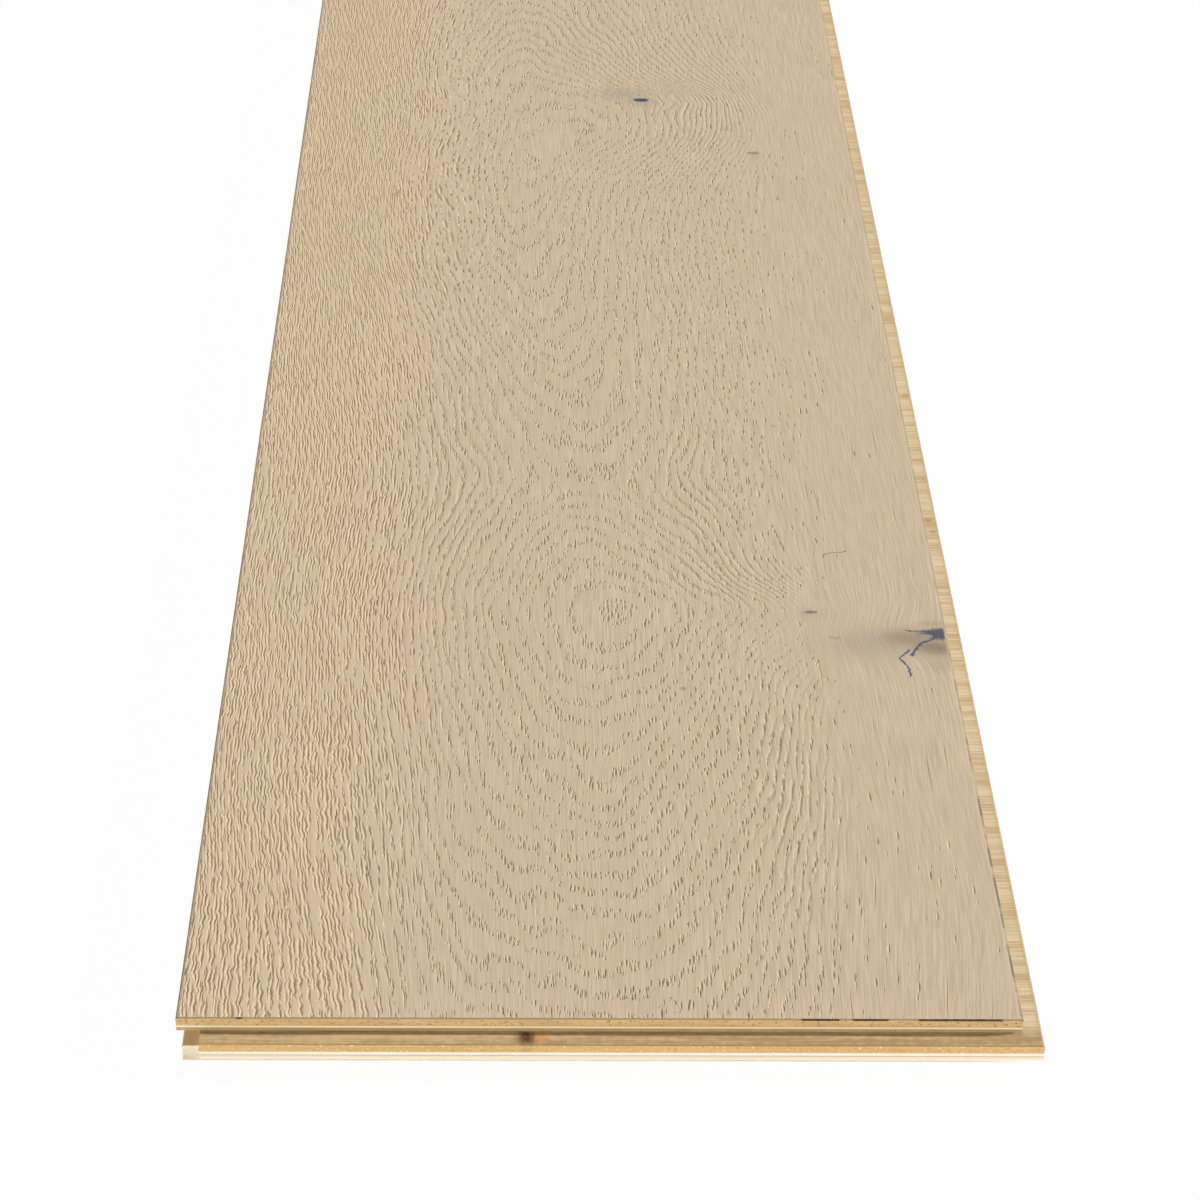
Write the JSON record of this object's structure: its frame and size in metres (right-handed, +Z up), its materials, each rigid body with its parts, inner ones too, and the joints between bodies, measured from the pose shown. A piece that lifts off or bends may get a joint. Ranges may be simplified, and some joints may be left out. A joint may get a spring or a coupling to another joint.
{
  "type": "engineered hardwood floorboard",
  "caption": "Long flat oak floorboard on a core of crossed plies, with tongue-and-groove edges and ends that lock it to its neighbours in a laid floor.",
  "frame": {"origin": "middle of the underside of the box round the board, tongues included", "axes": "+Y along the board towards its grooved end, +X towards its tongued side, +Z up out of the face"},
  "size_m": [0.2252, 1.9054, 0.015],
  "materials": {
    "brushed_oak": "brushed and matt oiled, pale beige",
    "long_grain_ply": "sawn and milled, grain along the board",
    "cross_grain_ply": "sawn and milled, grain across the board"
  },
  "bodies": {
    "root": {"oak_wear_layer": "brushed_oak", "cross_ply_1": "cross_grain_ply", "long_ply_1": "long_grain_ply", "cross_ply_2": "cross_grain_ply", "long_ply_2": "long_grain_ply", "cross_ply_3": "cross_grain_ply", "long_ply_3": "long_grain_ply", "cross_ply_4": "cross_grain_ply", "backing_veneer": "long_grain_ply"}
  },
  "joints": []
}
